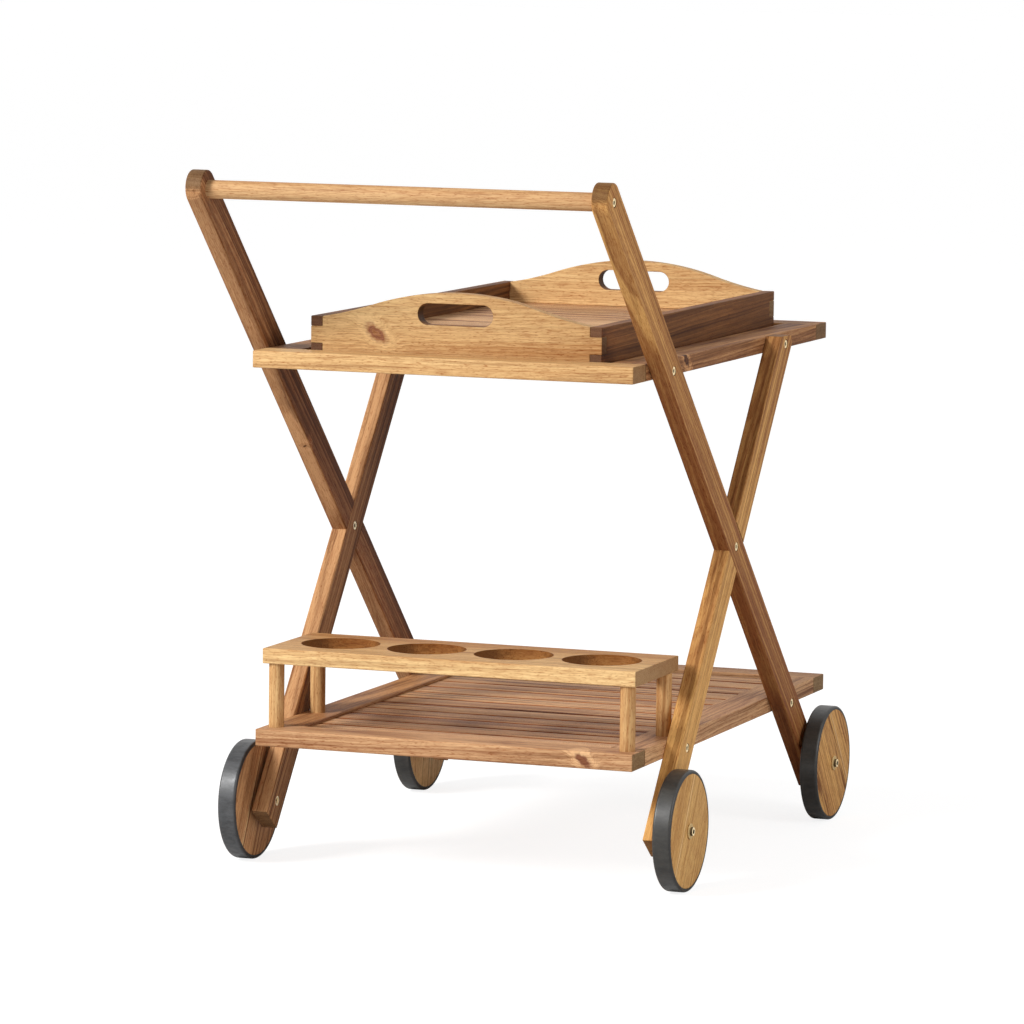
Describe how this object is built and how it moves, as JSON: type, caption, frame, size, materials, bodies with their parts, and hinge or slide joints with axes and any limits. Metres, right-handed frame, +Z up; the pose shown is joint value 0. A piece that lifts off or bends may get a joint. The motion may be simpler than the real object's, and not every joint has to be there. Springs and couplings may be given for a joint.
{
  "type": "bar cart",
  "caption": "Wooden bar cart with crossed legs on both sides, round push bar, slatted shelves, a lift-off tray with arched ends, a bottle rack and rubber-tyred wooden wheels.",
  "frame": {"origin": "on the floor, under the middle of the cart's overall box", "axes": "+X to the right along the handle bar, +Y away from the handle towards the rear wheels, +Z up"},
  "size_m": [0.5986, 0.9311, 0.8651],
  "materials": {
    "acacia_light": "oiled acacia, pale sapwood boards, satin",
    "acacia_brown": "oiled acacia, brown heartwood boards, satin",
    "acacia_slats": "oiled acacia, pinkish brown slats, satin",
    "acacia_disc": "oiled acacia, glued boards turned to a disc, satin",
    "hardware": "yellow passivated steel, satin",
    "tyre_rubber": "moulded rubber, satin"
  },
  "bodies": {
    "cart": {"long_leg_left": "acacia_brown", "long_leg_right": "acacia_brown", "short_leg_left": "acacia_brown", "short_leg_right": "acacia_brown", "handle_bar": "acacia_light", "upper_front_rail": "acacia_light", "upper_back_rail": "acacia_brown", "upper_side_rail_left": "acacia_brown", "upper_side_rail_right": "acacia_brown", "upper_slats": "acacia_slats", "lower_front_rail": "acacia_light", "lower_back_rail": "acacia_brown", "lower_side_rail_left": "acacia_brown", "lower_side_rail_right": "acacia_brown", "lower_slats": "acacia_slats", "rack_board": "acacia_light", "rack_dowels": "acacia_light", "frame_bolts": "hardware", "threaded_inserts": "hardware", "crossing_nuts": "hardware", "axle_bolts": "hardware", "axle_washers": "hardware", "axle_spacers": "hardware", "axle_nuts": "hardware"},
    "wheel_front_left": {"wheel_disc_front_left": "acacia_disc", "tyre_front_left": "tyre_rubber"},
    "wheel_front_right": {"wheel_disc_front_right": "acacia_disc", "tyre_front_right": "tyre_rubber"},
    "wheel_rear_left": {"wheel_disc_rear_left": "acacia_disc", "tyre_rear_left": "tyre_rubber"},
    "wheel_rear_right": {"wheel_disc_rear_right": "acacia_disc", "tyre_rear_right": "tyre_rubber"},
    "tray": {"tray_front_end": "acacia_light", "tray_back_end": "acacia_light", "tray_side_left": "acacia_brown", "tray_side_right": "acacia_brown", "tray_floor": "acacia_slats"}
  },
  "joints": [
    {"name": "front_left_spin", "type": "hinge", "parent": "cart", "child": "wheel_front_left", "pos_m": [-0.2825, -0.22042, 0.074], "axis": [1, 0, 0], "continuous": true},
    {"name": "front_right_spin", "type": "hinge", "parent": "cart", "child": "wheel_front_right", "pos_m": [0.2825, -0.22042, 0.074], "axis": [1, 0, 0], "continuous": true},
    {"name": "rear_left_spin", "type": "hinge", "parent": "cart", "child": "wheel_rear_left", "pos_m": [-0.2825, 0.35758, 0.074], "axis": [1, 0, 0], "continuous": true},
    {"name": "rear_right_spin", "type": "hinge", "parent": "cart", "child": "wheel_rear_right", "pos_m": [0.2825, 0.35758, 0.074], "axis": [1, 0, 0], "continuous": true},
    {"name": "tray_lift", "type": "slide", "parent": "cart", "child": "tray", "axis": [0, 0, 1], "range_m": [0, 0.15]}
  ]
}
